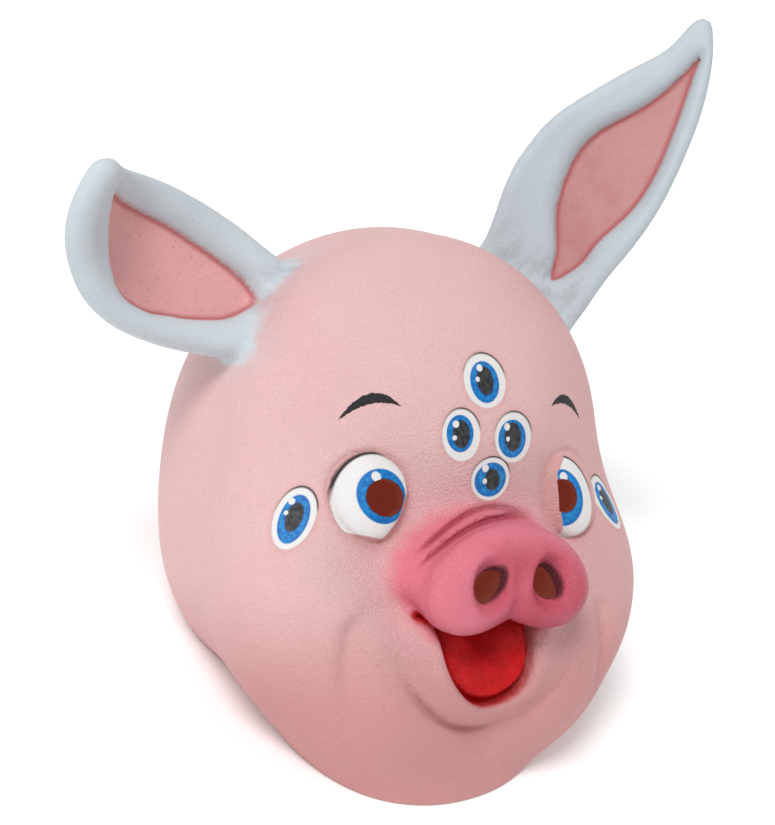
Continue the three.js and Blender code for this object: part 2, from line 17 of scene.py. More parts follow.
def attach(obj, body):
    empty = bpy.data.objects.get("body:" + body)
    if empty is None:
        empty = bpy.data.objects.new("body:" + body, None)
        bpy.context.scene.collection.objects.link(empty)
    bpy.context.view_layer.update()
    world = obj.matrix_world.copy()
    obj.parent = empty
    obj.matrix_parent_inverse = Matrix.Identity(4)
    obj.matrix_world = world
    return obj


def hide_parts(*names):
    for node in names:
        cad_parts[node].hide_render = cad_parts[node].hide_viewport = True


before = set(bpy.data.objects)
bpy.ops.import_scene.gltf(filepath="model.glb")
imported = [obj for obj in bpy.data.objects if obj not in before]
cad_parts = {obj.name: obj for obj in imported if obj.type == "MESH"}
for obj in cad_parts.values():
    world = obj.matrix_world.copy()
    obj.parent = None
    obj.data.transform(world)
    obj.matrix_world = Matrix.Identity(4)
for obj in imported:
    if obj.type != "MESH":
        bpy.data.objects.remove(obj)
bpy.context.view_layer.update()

# Driving sizes, in the sculpt's millimetres. SIZE turns them into real ones. SHIFT alone is in real ones, and
# brings the middle of the mask's box to the origin.
SIZE = 0.96
TILT = math.radians(33)
RIM_Z = -97
WALL = 3.4
SHIFT = (16.542, -0.727)

# The lumps of the head: centre, radii, and how softly each joins those before it.
CROWN = ((0, -22, 42), (103, 94.5, 89.5))
NAPE = ((0, -37, -27.5), (105, 56.5, 76.5), 60)
BROW = ((0, 14.5, 25.5), (85.5, 30, 86), 70)
CHEEK = ((79, 36, -47.5), (34, 34, 40), 55)
CHIN = ((-9, 40.5, -103), (47, 28, 94), 45)
JOWL = ((45.5, 42.5, -86), (28, 34.5, 28), 50)

# The face, seen from the front: ovals as centre and half sizes, lines as two ends. Its relief comes in over
# FACE_STARTS along f, so that the back of the head stays plain. The snout stands a little to the pig's right.
FACE_STARTS = (20, 40)
MUZZLE_X = -2.7
MUZZLE = ((0, -56), (53, 47))
SMILE_RING = ((0, -68), (75, 62))
SMILE_HOOK = ((46, -43), (66, -46))
MOUTH_OPENING = ((0, -66), (26.5, 26))
MOUTH_LINE = ((0, -50), (39, -48))
SNOUT_MIDDLE = ((0, -27.5), (33, 21.5))
SNOUT_LOBE = ((24.5, -38.5), (21, 18.5))
SNOUT_FRONT = 109
SNOUT_BACK = 45
NOSTRIL_DIP = ((17, 112, -34), (9, 13, 12.5))
NOSTRIL = ((16.6, -34.6), (5.1, 8.1))
NOSTRIL_MIDDLE = -1.4
NOSTRIL_LEAN = 24

# The large eyes: raised ball, painted white, iris and pupil hole as centre and half sizes, the glint as
# centre and radius, and the folds of skin that cut the eye off, each as a direction to its outside and how
# far out it lies. A lean is in degrees.
EYE_HEIGHT = 6
MAIN_EYES = [
    {
        "side": -1, "lean": -22, "ball": ((-58.5, 6), (19, 20)), "white": ((-59.1, 5.1), (18.1, 20.9)),
        "iris": ((-56.3, 6.6), (12.7, 12.6)), "hole": ((-55.1, 5.9), (9.7, 8.5)),
        "glint": ((-58.6, 15.6), 2.3),
        "folds": [
            ((1, 0), -42.6), ((0.894, -0.447), -41.8), ((0.76, -0.651), -34.7), ((-0.214, -0.977), 24.8),
        ],
    },
    {
        "side": 1, "lean": 12, "ball": ((57.5, 4.6), (18.5, 21)), "white": ((53.5, 2.9), (14.2, 20)),
        "iris": ((49.5, 3), (12.1, 14)), "hole": ((49.9, 4), (7.7, 8.2)),
        "glint": ((50.8, 13.2), 2.3),
        "folds": [((-1, 0), -47.5), ((-0.974, -0.227), -45.6), ((-0.81, 0.586), -29.7)],
        "hole_fold": 47,
    },
]

# Each ear stands along one direction, its hollow side to the front. Outline and sunk panel are drawn on the
# flat ear, across it and along it, and cup, twist, bend and curl then shape it. The curl is a curvature below
# and above CURL_CHANGES_AT. The thickness is the middle's, the tip's and what the root has more.
EAR_LENGTH = 172
CURL_CHANGES_AT = 83
RIM_ROLL = 9
LOOP_STEP = 0.75
EARS = [
    {
        "root": (83, -2.5, 112), "along": (0.425, 0.363, 0.829), "front": (-0.662, 0.749, 0.011),
        "side": -1, "size": 1, "cup": 8.5, "twist": 0, "bend": 0, "curl": (0, 0),
        "thickness": (7, 6, 0), "blend": 9,
        "outline": [
            (-28, -22), (-31, 12), (-38, 42), (-39.5, 62), (-35.5, 89), (-19, 125.5), (-7, 148), (-3, 168),
            (2, 173), (8, 170), (19, 152.5), (29, 126), (36.5, 90), (38.5, 62), (36, 32), (28, -22),
        ],
        "panel": [
            (11, 12), (4, 27), (-9, 47), (-15.5, 72), (-13, 92), (0, 117), (7, 138),
            (10.5, 155), (13.5, 144), (21, 116), (26.5, 88), (26.5, 66), (21, 43), (19.5, 27),
        ],
    },
    {
        "root": (-72, 8, 92), "along": (-0.953, -0.11, 0.284), "front": (-0.01, 0.944, 0.331),
        "side": 1, "size": 0.976, "cup": 5.7, "twist": -15, "bend": 0.8, "curl": (0.004, 0.017),
        "thickness": (7.5, 6.5, 2.5), "blend": 5,
        "outline": [
            (-26, -20), (-26, 2), (-29.5, 18), (-33.5, 36), (-35, 58), (-33.5, 82), (-29, 103),
            (-20.5, 126), (-12.5, 145), (-6, 155.5), (2, 155.5), (13, 147.5), (23, 134.5), (30.5, 119),
            (37, 106), (41, 91), (42, 77), (40.5, 59), (37, 40), (32, 15), (29, -20),
        ],
        "panel": [
            (-0.5, 16), (-7, 19), (-12, 28), (-15.2, 42), (-17.6, 64), (-17.2, 85), (-14, 104), (-9, 126),
            (-3, 120.5), (5.5, 112), (16.5, 102.5), (26.5, 91), (28.5, 75), (25.5, 62), (21.5, 48.5),
            (14.5, 31), (5.5, 20),
        ],
    },
]


def linear(*levels):
    """A colour given as 0 to 255 in sRGB, in Blender's linear numbers."""
    parts = [v / 255 for v in levels]
    return (*[v / 12.92 if v <= 0.04045 else ((v + 0.055) / 1.055) ** 2.4 for v in parts], 1)


# Paints, some of them painted light and shade, and the raw rubber with a painted glow for the light through
# its thin wall.
SKIN_PALE = linear(229, 189, 188)
SKIN_DEEP = linear(222, 178, 178)
# Painted shade on the skin: toward the chin, on the pig's left and round the eyes.
SKIN_PAINTED_SHADE = linear(201, 135, 134)
SKIN_SPECK = linear(190, 120, 120)
# A pale pink round the snout: partly the rose's overspray, partly painted light that brightens the skin
# there.
BLUSH_AND_PAINTED_LIGHT = linear(248, 178, 184)
# Painted light on the snout's top and on the pig's right.
ROSE_PAINTED_LIGHT = linear(242, 134, 152)
ROSE_PALE = linear(222, 104, 126)
ROSE_DEEP = linear(208, 88, 108)
# Painted shade on the snout: below and in the creases.
ROSE_PAINTED_SHADE = linear(182, 62, 84)
# Painted shade in the nostrils and on the walls of their dips.
NOSTRIL_PAINTED_SHADE = linear(58, 7, 11)
TONGUE_PALE = linear(218, 10, 18)
TONGUE_DEEP = linear(196, 6, 14)
# Painted shade in the gutter round the tongue.
GUTTER_PAINTED_SHADE = linear(190, 8, 16)
# Painted light on the grey of the ear on the pig's right.
GREY_PAINTED_LIGHT = linear(228, 236, 240)
GREY_PALE = linear(190, 200, 206)
GREY_DEEP = linear(178, 188, 194)
# Painted shade in the wrinkles at the ears' roots.
GREY_FOLD_SHADE = linear(128, 128, 132)
PANEL_PALE = linear(192, 138, 138)
# Painted light on the panel of the ear on the pig's right.
PANEL_PAINTED_LIGHT = linear(248, 182, 182)
PANEL_DEEP = linear(184, 126, 126)
# Painted shade in the ear panels' crease and wrinkles.
PANEL_CREASE_SHADE = linear(170, 78, 78)
EYE_WHITE = linear(222, 221, 220)
IRIS_DEEP = linear(0, 98, 170)
IRIS_MIDDLE = linear(0, 118, 190)
IRIS_PALE = linear(50, 152, 212)
PUPIL_PALE = linear(62, 62, 65)
PUPIL_DEEP = linear(30, 31, 34)
LID_LINE = linear(48, 40, 42)
BROW_BLACK = linear(36, 35, 38)
RAW_PALE = linear(34, 15, 11)
RAW_DEEP = linear(26, 11, 8)
# A painted glow: emission in place of the light that comes through the wall.
RAW_PAINTED_GLOW = linear(110, 41, 28)
RAW_PAINTED_GLOW_STRENGTH = 0.97

# How deep below the sculpted skin a face may lie and still be painted, in millimetres.
PAINT_DEPTH = 0.6

# The light: where the key comes from in the sculpt, its strength and its spread in degrees, and the surround.
KEY_FROM = (-0.58, 0.75, 0.75)
KEY_STRENGTH = 1.9
KEY_SPREAD = 22
SURROUND_STRENGTH = 0.62

# The photograph's camera, level in the sculpt's frame, and where the sculpt's origin falls in the picture.
CAMERA_BEARING = math.radians(33)
CAMERA_DISTANCE = 850
PICTURE = (775, 825)
FOCAL_PIXELS = 1657.5
SCULPT_ORIGIN_PIXEL = (396, 500)
TOWARD_CAMERA = np.array((-math.sin(CAMERA_BEARING), math.cos(CAMERA_BEARING), 0))
ACROSS_VIEW = np.array((math.cos(CAMERA_BEARING), math.sin(CAMERA_BEARING), 0))


def soft_step(a, b, v):
    """From 0 at v = a to 1 at v = b."""
    t = np.clip((v - a) / (b - a), 0, 1)
    return t * t * (3 - 2 * t)


def blend(a, b, k):
    """A soft union of two distances, rounded over k."""
    h = np.maximum(k - np.abs(a - b), 0) / k
    return np.minimum(a, b) - h * h * k / 4


def meet(a, b, k):
    """A soft intersection of two distances."""
    return -blend(-a, -b, k)


def rounded(place, centre, radii):
    """Distance to an ellipse or an ellipsoid, in as many dimensions as it has radii."""
    scaled = [(p - c) / r for p, c, r in zip(place, centre, radii)]
    near = np.sqrt(sum(s * s for s in scaled)) + 1e-9
    slope = np.sqrt(sum((s / r) ** 2 for s, r in zip(scaled, radii))) + 1e-9
    return near * (near - 1) / slope


def egg(x, f, z, centre, radii):
    """Distance to an ellipsoid."""
    return rounded((x, f, z), centre, radii)


def oval(x, z, centre, radii):
    """Distance to an ellipse in the x, z plane."""
    return rounded((x, z), centre, radii)


def stroke(x, z, a, b):
    """Distance to a line segment in the x, z plane."""
    bx, bz = b[0] - a[0], b[1] - a[1]
    h = np.clip(((x - a[0]) * bx + (z - a[1]) * bz) / (bx * bx + bz * bz), 0, 1)
    return np.hypot(x - a[0] - bx * h, z - a[1] - bz * h)


def bump(v, width):
    """A smooth bump: 1 where v is 0, and near 0 past twice the width."""
    return np.exp(-((v / width) ** 2))


def on_face(f):
    """From 0 on the back of the head to 1 on the face."""
    return soft_step(*FACE_STARTS, f)


def skull(x, f, z):
    """The head without muzzle, snout and ears. A cheek and a jowl stand on either side."""
    d = egg(x, f, z, *CROWN)
    either = np.sqrt(x * x + 10**2)
    for across, lump in ((x, NAPE), (x, BROW), (either, CHEEK), (x, CHIN), (either, JOWL)):
        centre, radii, softness = lump
        d = blend(d, egg(across, f, z, centre, radii), softness)
    return d


def past_folds(eye, x, z):
    """How far a place lies past the folds of skin that cut an eye off."""
    return np.maximum.reduce([a * x + b * z - reach for (a, b), reach in eye["folds"]])


def eyeballs(x, z):
    """How far the eyeballs stand over the skin, with a groove round each and a hollow toward the nose."""
    hollow_depth, groove_depth = 2, 0.8
    rise = -hollow_depth * bump(np.abs(x) - 47, 17) * bump(z - 14, 22)
    for eye in MAIN_EYES:
        (cx, cz), (half_width, half_height) = eye["ball"]
        rho = np.hypot((x - cx) / half_width, (z - cz) / half_height)
        covered = soft_step(-1, 6, past_folds(eye, x, z))
        ball = EYE_HEIGHT * np.sqrt(np.maximum(1 - rho * rho, 0)) * (1 - 0.8 * covered)
        rise = rise + ball - groove_depth * bump(rho - 1.04, 0.06) * (1 - covered)
    return rise


def muzzle(x, z):
    """How far the jaw stands over the face, with a sharp crease under it on the pig's right."""
    edge = oval(x - MUZZLE_X, z, *MUZZLE)
    low = soft_step(-66, -92, z)
    right = 0.15 + 0.85 * soft_step(10, -16, x)
    t = np.clip(-edge / (26 - 14 * low), 0, 1)
    soft = t * t * (3 - 2 * t)
    hard = np.sqrt(np.maximum(1 - (1 - t) ** 2, 0))
    height = (3 + 3 * low) * (soft + (hard - soft) * 0.8 * low * right)
    crease = 2.6 * bump(edge - 0.8, 1.9) * low * right
    return (height - crease) * soft_step(-36, -54, z)


def smile(x, z):
    """The depth of the smile's crease, from the corner of the mouth round the jowl."""
    hook_depth, ring_depth = 1.4, 3.4
    hook = bump(stroke(np.abs(x), z, *SMILE_HOOK), 5.5)
    fade = soft_step(-42, -54, z) * (1 - 0.75 * soft_step(-66, -112, z))
    ring = bump(oval(x, z, *SMILE_RING), 6) * fade
    return np.maximum(hook_depth * hook, ring_depth * ring)


def mouth_outline(x, z, closing=1.8):
    """Distance to the open mouth's outline, from the front. Its corners close by the given amount."""
    ax = np.abs(x - MUZZLE_X + 1.5)
    corners_part = stroke(ax, z, *MOUTH_LINE) - 1 + closing * soft_step(24, 40, ax)
    return blend(oval(ax, z, *MOUTH_OPENING), corners_part, 24)


def mouth_front(z):
    """How far forward the skin stands round the mouth."""
    return 85 - 0.006 * (z + 80) ** 2


def lip(x, z):
    """How far the skin rises to the mouth's edge."""
    return 1.6 * bump(mouth_outline(x, z) - 4, 5) * soft_step(-44, -56, z)


def mouth_recess(x, f, z):
    """Distance to the hollow of the mouth, shallow at its corners and deepest at the top of its middle."""
    middle = bump(x - MUZZLE_X, 24)
    corner = soft_step(26, 38, np.abs(x - MUZZLE_X))
    floor = mouth_front(z) - 3 + 3 * corner - 4 * middle - 12 * soft_step(-72, -50, z) * middle
    return meet(mouth_outline(x, z), floor - f, 4)


def tongue(x, f, z):
    """The tongue fills the mouth but for a narrow gutter, and dips at the top of its middle."""
    edge = mouth_outline(x, z)
    mx = x - MUZZLE_X
    dip = 10 * soft_step(-78, -54, z) * bump(mx, 9) + 5 * soft_step(-62, -48, z)
    top = mouth_front(z) - 2.6 - dip + 1.5 * bump(z + 78, 9) + 0.05 * np.abs(mx) + 1.3 * bump(edge + 4.2, 1.3)
    return meet(meet(edge + 2.2, f - top, 3), mouth_front(z) - 30 - f, 1)


def snout_disc(x, z):
    """Distance to the outline of the snout's two-lobed front."""
    mx = x - MUZZLE_X
    return blend(oval(mx, z, *SNOUT_MIDDLE), oval(np.abs(mx), z, *SNOUT_LOBE), 16)


# The two creases over the top of the snout: how high each stands at places across the camera's view of it.
UPPER_CREASE = [
    (6, -21), (11.7, -17), (17.5, -13.2), (23.4, -9.4), (29.5, -4.8), (35.6, -1.7), (44.8, -0.5),
    (54.4, -1.9), (66, -5.5),
]
LOWER_CREASE = [
    (12, -23), (23.2, -14.9), (29.1, -10.6), (35.1, -8.3), (41.3, -6), (50.8, -4.9), (60.8, -5.3), (68, -7.5),
]
CREASE_CURVE_DEGREE = 4


def snout_folds(x, f, z):
    """The depth of the creases over the snout, with rounded folds of skin between and below them."""
    across = x * ACROSS_VIEW[0] + f * ACROSS_VIEW[1]
    toward = x * TOWARD_CAMERA[0] + f * TOWARD_CAMERA[1]
    curves = [np.polyfit(*zip(*stops), CREASE_CURVE_DEGREE) for stops in (UPPER_CREASE, LOWER_CREASE)]
    upper, lower = [np.polyval(curve, np.clip(across, 4, 70)) for curve in curves]
    gap = np.maximum(upper - lower, 1.5)
    roll = np.sin(np.pi * np.clip((upper - z) / gap, 0, 1)) * soft_step(1.5, 5, gap)
    below = bump(z - lower + 5, 3)
    depth = 1.7 * bump(z - upper, 1.8) + 1.7 * bump(z - lower, 1.7) - 1.2 * roll - 0.8 * below
    ends = soft_step(5, 18, across) * soft_step(70, 50, across)
    return depth * ends * soft_step(22, 14, np.abs(toward - 104 + 0.87 * across))


def snout(x, f, z, folds=1):
    """The two-lobed snout on its short trunk, with a groove down its front where folds is 1."""
    upper = soft_step(-36, -12, z)
    flare = (-0.42 + 0.72 * soft_step(-50, -28, z)) * np.maximum(92 - f, 0)
    neck = (1 + 1.4 * upper) * soft_step(103, 92, f)
    edge = 11
    side = snout_disc(x, z) + neck - flare + edge
    front = f - (SNOUT_FRONT + 0.08 * (z + 34)) + edge
    outside = np.hypot(np.maximum(side, 0), np.maximum(front, 0))
    body = outside + np.minimum(np.maximum(side, front), 0) - edge
    groove = 1.6 * folds * bump(x - MUZZLE_X, 4.5) * soft_step(-18, -34, z) * soft_step(100, 106, f)
    return meet(body, SNOUT_BACK - f, 4) + groove


def nostril_dip(x, f, z):
    """Distance to the two dips that the nostril holes lie in."""
    return egg(np.abs(x - MUZZLE_X), f, z, *NOSTRIL_DIP)


def head(x, f, z):
    """The head without ears."""
    d = skull(x, f, z) - (muzzle(x, z) - smile(x, z) + lip(x, z) + eyeballs(x, z)) * on_face(f)
    d = meet(d, -mouth_recess(x, f, z), 3)
    d = blend(d, tongue(x, f, z), 2)
    d = blend(d, snout(x, f, z), 4 + 8 * soft_step(-50, -25, z)) + snout_folds(x, f, z)
    return meet(d, -nostril_dip(x, f, z), 5)


def lining(x, f, z):
    """The plainer shape that the inside follows, one wall further in."""
    d = skull(x, f, z) - (eyeballs(x, z) - 0.8 * smile(x, z)) * on_face(f)
    d = blend(d, snout(x, f, z, 0), 5)
    d = meet(d, 3.5 - mouth_recess(x, f, z), 10)
    return meet(d, -nostril_dip(x, f, z), 6)


def tipped(f, z):
    """Turns the sculpt's f and z into how far back and how high they are at rest. It is its own inverse."""
    return z * math.sin(TILT) - f * math.cos(TILT), z * math.cos(TILT) + f * math.sin(TILT)


def over_rim(f, z):
    """Height over the plane of the neck rim."""
    return tipped(f, z - RIM_Z)[1]


def unrolled(y, z, k):
    """Undoes a curl of curvature k: how far along the arc, and how far off it."""
    if abs(k) < 1e-6:
        return y, z
    return np.arctan2(y, 1 / k - z) / k, 1 / k - np.hypot(y, 1 / k - z)


def flat_ear(ear, x, f, z):
    """A point's place on the flattened ear: across, along, and out of its hollow side."""
    along = Vector(ear["along"]).normalized()
    front = Vector(ear["front"])
    front = (front - front.dot(along) * along).normalized()
    lateral = along.cross(front) * ear["side"]
    reach = [v - r for v, r in zip((x, f, z), ear["root"])]
    axes = (lateral, along, front)
    across, y, out = (sum(r * c for r, c in zip(reach, axis)) / ear["size"] for axis in axes)
    low_curl, high_curl = ear["curl"]
    t, rise = unrolled(y, out, low_curl)
    if high_curl != low_curl:
        turned = low_curl * CURL_CHANGES_AT
        past_y = y - math.sin(turned) / low_curl
        past_out = out - (1 - math.cos(turned)) / low_curl
        high_y = past_y * math.cos(turned) + past_out * math.sin(turned)
        high_out = past_out * math.cos(turned) - past_y * math.sin(turned)
        high_t, high_rise = unrolled(high_y, high_out, high_curl)
        t = np.where(high_y > 0, CURL_CHANGES_AT + high_t, t)
        rise = np.where(high_y > 0, high_rise, rise)
    across = across - ear["bend"] * (np.clip(t, 0, 300) / EAR_LENGTH) ** 2
    rise = rise - ear["cup"] * (across / 40) ** 2 - ear["twist"] * across / 40 * t / EAR_LENGTH
    return across, t, rise


def smooth_loop(stops):
    """A closed smooth line through the given points."""
    p1 = np.array(stops, float)
    p0, p2, p3 = np.roll(p1, 1, 0), np.roll(p1, -1, 0), np.roll(p1, -2, 0)
    parts = []
    for t in np.arange(5) / 5:
        bend = (2 * p0 - 5 * p1 + 4 * p2 - p3) * t * t + (3 * p1 - p0 - 3 * p2 + p3) * t**3
        parts.append((2 * p1 + (p2 - p0) * t + bend) / 2)
    return np.stack(parts, axis=1).reshape(-1, 2)


# The flat ear's grid, across it and along it.
LOOP_X = np.arange(-60, 60.1, LOOP_STEP)
LOOP_Y = np.arange(-40, 190.1, LOOP_STEP)


def loop_table(stops):
    """Distances to a closed outline, negative inside it, on a fine grid over the flat ear."""
    x, y = np.meshgrid(LOOP_X, LOOP_Y, indexing="ij")
    best = np.full(x.shape, 1e9)
    inner = np.zeros(x.shape, bool)
    loop = smooth_loop(stops)
    for (ax, ay), (bx, by) in zip(loop, np.roll(loop, -1, axis=0)):
        ex, ey = bx - ax, by - ay
        h = np.clip(((x - ax) * ex + (y - ay) * ey) / (ex * ex + ey * ey), 0, 1)
        best = np.minimum(best, np.hypot(x - ax - ex * h, y - ay - ey * h))
        if ey != 0:
            inner ^= ((ay > y) != (by > y)) & (x < ax + ex * (y - ay) / ey)
    return np.where(inner, -best, best)


def looked_up(table, x, y):
    """A table's value at any point, and beyond its edge the distance to the edge added."""
    u = np.clip(x, LOOP_X[0], LOOP_X[-1] - 0.01)
    v = np.clip(y, LOOP_Y[0], LOOP_Y[-1] - 0.01)
    beyond = np.hypot(x - u, y - v)
    u, v = (u - LOOP_X[0]) / LOOP_STEP, (v - LOOP_Y[0]) / LOOP_STEP
    i, j = u.astype(int), v.astype(int)
    u, v = u - i, v - j
    low = table[i, j] * (1 - u) + table[i + 1, j] * u
    high = table[i, j + 1] * (1 - u) + table[i + 1, j + 1] * u
    return low * (1 - v) + high * v + beyond


for ear in EARS:
    ear["edge"] = loop_table(ear["outline"])
    ear["sunk"] = loop_table(ear["panel"])


def ear_body(ear, x, f, z):
    """Distance to one ear: a rounded leaf with rolled rims round a sunk panel."""
    across, t, rise = flat_ear(ear, x, f, z)
    middle, tip, more = ear["thickness"]
    thick = middle + (tip - middle) * soft_step(90, 165, t) + more * soft_step(45, 5, t)
    d = np.hypot(np.maximum(looked_up(ear["edge"], across, t) + thick, 0), rise) - thick
    k = np.clip(1 - looked_up(ear["sunk"], across, t) / RIM_ROLL, 0, 1)
    d = meet(d, (rise - thick * np.sqrt(np.maximum(1 - k * k, 0))) * 0.8, 0.8)
    return d * ear["size"] * 0.9


def skin(x, f, z):
    """Head and ears together, carried on a little below the neck rim."""
    d = head(x, f, z)
    for ear in EARS:
        d = blend(d, ear_body(ear, x, f, z), ear["blend"])
    return np.maximum(d, -over_rim(f, z) - 8)


def hollow(x, f, z):
    """The space inside, carried on further below the neck rim."""
    return np.maximum(lining(x, f, z) + WALL, -over_rim(f, z) - 16)


# Grid cells in a block, along each axis.
BLOCK = 4


def grid_lines(stops, spacings):
    """Grid lines from the first stop to the last, with a spacing for each stretch, in whole blocks."""
    lines = [stops[0]]
    for start, stop, spacing in zip(stops, stops[1:], spacings):
        count = BLOCK * max(1, round((stop - start) / spacing / BLOCK))
        lines += list(start + (stop - start) * np.arange(1, count + 1) / count)
    return np.array(lines)


def sampled(field, lines):
    """The field on a grid: exact in blocks that may hold the surface, elsewhere the block's middle value."""
    middles = [(line[:-1:BLOCK] + line[BLOCK::BLOCK]) / 2 for line in lines]
    halves = [(line[BLOCK::BLOCK] - line[:-1:BLOCK]) / 2 for line in lines]
    at_middle = field(*np.meshgrid(*middles, indexing="ij"))
    reach = np.sqrt(sum(h**2 for h in np.meshgrid(*halves, indexing="ij")))
    near = np.abs(at_middle) < 1.5 * reach + 2
    blocks = [np.repeat(np.arange(len(m)), BLOCK) for m in middles]
    after, before = [np.append(b, b[-1]) for b in blocks], [np.append(0, b) for b in blocks]
    value = at_middle[np.ix_(*after)]
    wanted = np.zeros(value.shape, bool)
    for beside in itertools.product(*zip(after, before)):
        wanted |= near[np.ix_(*beside)]
    i, j, k = np.nonzero(wanted)
    value[i, j, k] = field(lines[0][i], lines[1][j], lines[2][k])
    return value


def corners(value):
    """The values at every cell's eight corners. Corner i, j, k is number 4i + 2j + k."""
    return [value[part] for part in itertools.product((slice(None, -1), slice(1, None)), repeat=3)]


def part_sheets(value):
    """Moves single grid points outside where two sheets would meet along an edge or in one point."""
    just_outside, most_rounds = 0.01, 40
    for _ in range(most_rounds):
        inside = value < 0
        moved = 0
        for axis in range(3):
            flat = np.moveaxis(inside, axis, 0)
            a, b, c, d = flat[:, :-1, :-1], flat[:, 1:, :-1], flat[:, :-1, 1:], flat[:, 1:, 1:]
            target = np.moveaxis(value, axis, 0)
            for crossed, shift in ((a & d & ~b & ~c, 0), (b & c & ~a & ~d, 1)):
                n, p, q = np.nonzero(crossed)
                target[n, p + shift, q] = just_outside
                moved += len(n)
        c = corners(value < 0)
        total = sum(v.astype(np.int8) for v in c)
        for corner in range(8):
            here, far = c[corner], c[7 - corner]
            for both, count, new in ((here & far, 2, just_outside), (~here & ~far, 6, -just_outside)):
                i, j, k = np.nonzero(both & (total == count))
                value[i + (corner >> 2), j + (corner >> 1 & 1), k + (corner & 1)] = new
                moved += len(i)
        if not moved:
            break
    return value


def settled(points, field, reach):
    """Slides points onto the surface where the field is zero, by at most reach."""
    now = points.copy()
    e = 0.15
    for _ in range(3):
        slope = [field(*(now + s).T) - field(*(now - s).T) for s in e * np.eye(3)]
        slope = np.stack(slope, axis=1) / (2 * e)
        steep = np.maximum((slope**2).sum(axis=1), 0.05)
        now = now - slope * (field(*now.T) / steep)[:, None]
        step = now - points
        far = np.linalg.norm(step, axis=1, keepdims=True)
        now = points + step * np.minimum(1, reach / np.maximum(far, 1e-9))
    return now


def surface_of(field, lines, reach):
    """The closed surface of a field: a vertex for each crossed cell and a quad for each crossed grid edge."""
    value = part_sheets(sampled(field, lines))
    c = corners(value < 0)
    mixed = np.logical_or.reduce(c) & ~np.logical_and.reduce(c)
    number = np.full(mixed.shape, -1)
    number[mixed] = np.arange(mixed.sum())
    total = np.zeros((mixed.sum(), 3))
    count = np.zeros(mixed.sum())
    quads = []
    for axis in range(3):
        low, high = np.delete(value, -1, axis), np.delete(value, 0, axis)
        start = np.stack(np.nonzero((low < 0) != (high < 0)), axis=1)
        a, b = low[tuple(start.T)], high[tuple(start.T)]
        where = np.stack([lines[n][start[:, n]] for n in range(3)], axis=1)
        beyond = lines[axis][start[:, axis] + 1]
        where[:, axis] += (beyond - where[:, axis]) * a / (a - b)
        p, q = [n for n in range(3) if n != axis]
        ring = []
        for dp, dq in ((0, 0), (1, 0), (1, 1), (0, 1)):
            cell = start.copy()
            cell[:, p] -= dp
            cell[:, q] -= dq
            ring.append(number[tuple(cell.T)])
            for n in range(3):
                total[:, n] += np.bincount(ring[-1], where[:, n], len(total))
            count += np.bincount(ring[-1], minlength=len(total))
        ring = np.stack(ring, axis=1)
        turn = (a < 0) != (axis == 1)
        ring[turn] = ring[turn][:, ::-1]
        quads.append(ring)
    return settled(total / count[:, None], field, reach), np.concatenate(quads)


def at_rest(points):
    """From the upright sculpt in millimetres to the real mask at rest on its rim, in metres."""
    x, f, z = points.T
    across, depth = SIZE * x + SHIFT[0], SIZE * tipped(f, z)[0] + SHIFT[1]
    return np.stack([across, depth, SIZE * over_rim(f, z)], axis=1) / 1000


def in_sculpt(points):
    """From the real mask in metres back to the upright sculpt."""
    across, depth, height = points.T * 1000
    f, z = tipped((depth - SHIFT[1]) / SIZE, height / SIZE + RIM_Z * math.cos(TILT))
    return (across - SHIFT[0]) / SIZE, f, z


def closed_mesh(name, points, faces):
    """A mesh object whose faces look outward."""
    mesh = bpy.data.meshes.new(name)
    volume = 0
    for n in range(2, faces.shape[1]):
        a, b, c = (points[faces[:, m]] for m in (0, n - 1, n))
        volume += (a * np.cross(b, c)).sum()
    if volume < 0:
        faces = faces[:, ::-1]
    mesh.from_pydata(points, [], faces)
    piece = bpy.data.objects.new(name, mesh)
    bpy.context.scene.collection.objects.link(piece)
    return piece


def cut(piece, cutter):
    """Takes the cutter out of the piece, and deletes it."""
    modifier = piece.modifiers.new("cut", "BOOLEAN")
    modifier.operation = "DIFFERENCE"
    modifier.solver = "MANIFOLD"
    modifier.object = cutter
    bpy.context.view_layer.update()
    evaluated = piece.evaluated_get(bpy.context.evaluated_depsgraph_get())
    mesh = bpy.data.meshes.new_from_object(evaluated)
    piece.modifiers.clear()
    piece.data = mesh
    bpy.data.objects.remove(cutter)


def rod(centre, half, lean, start, stop, fold=None):
    """A round or oval rod along f, to cut a hole with. A fold cuts it straight on the side of lower x."""
    (x, z), (half_width, half_height) = centre, half
    sides = 96
    turn = np.arange(sides) * 2 * math.pi / sides
    u, v = half_width * np.cos(turn), half_height * np.sin(turn)
    c, s = math.cos(math.radians(lean)), math.sin(math.radians(lean))
    ring = np.stack([x + u * c - v * s, u * 0, z + u * s + v * c], axis=1)
    if fold is not None:
        ring[:, 0] = np.maximum(ring[:, 0], fold)
    ends = [ring + (0, start, 0), ring + (0, stop, 0), [(x, start, z)], [(x, stop, z)]]
    faces = []
    for i in range(sides):
        j = (i + 1) % sides
        faces += [(i, j, j + sides), (i, j + sides, i + sides)]
        faces += [(j, i, 2 * sides), (i + sides, j + sides, 2 * sides + 1)]
    return closed_mesh("rod", at_rest(np.concatenate(ends)), np.array(faces))


def ground_block():
    """The block under the floor, which trims the neck rim flat."""
    reach, depth = 0.4, 0.1
    corner = np.array([(x, y, z) for x in (-reach, reach) for y in (-reach, reach) for z in (-depth, 0)])
    sides = [(0, 1, 3, 2), (4, 6, 7, 5), (0, 4, 5, 1), (2, 3, 7, 6), (0, 2, 6, 4), (1, 5, 7, 3)]
    return closed_mesh("ground", corner, np.array(sides))


def nostril(side):
    """One nostril hole's centre, half sizes and lean."""
    (x, z), half = NOSTRIL
    return (NOSTRIL_MIDDLE + side * x, z), half, side * NOSTRIL_LEAN


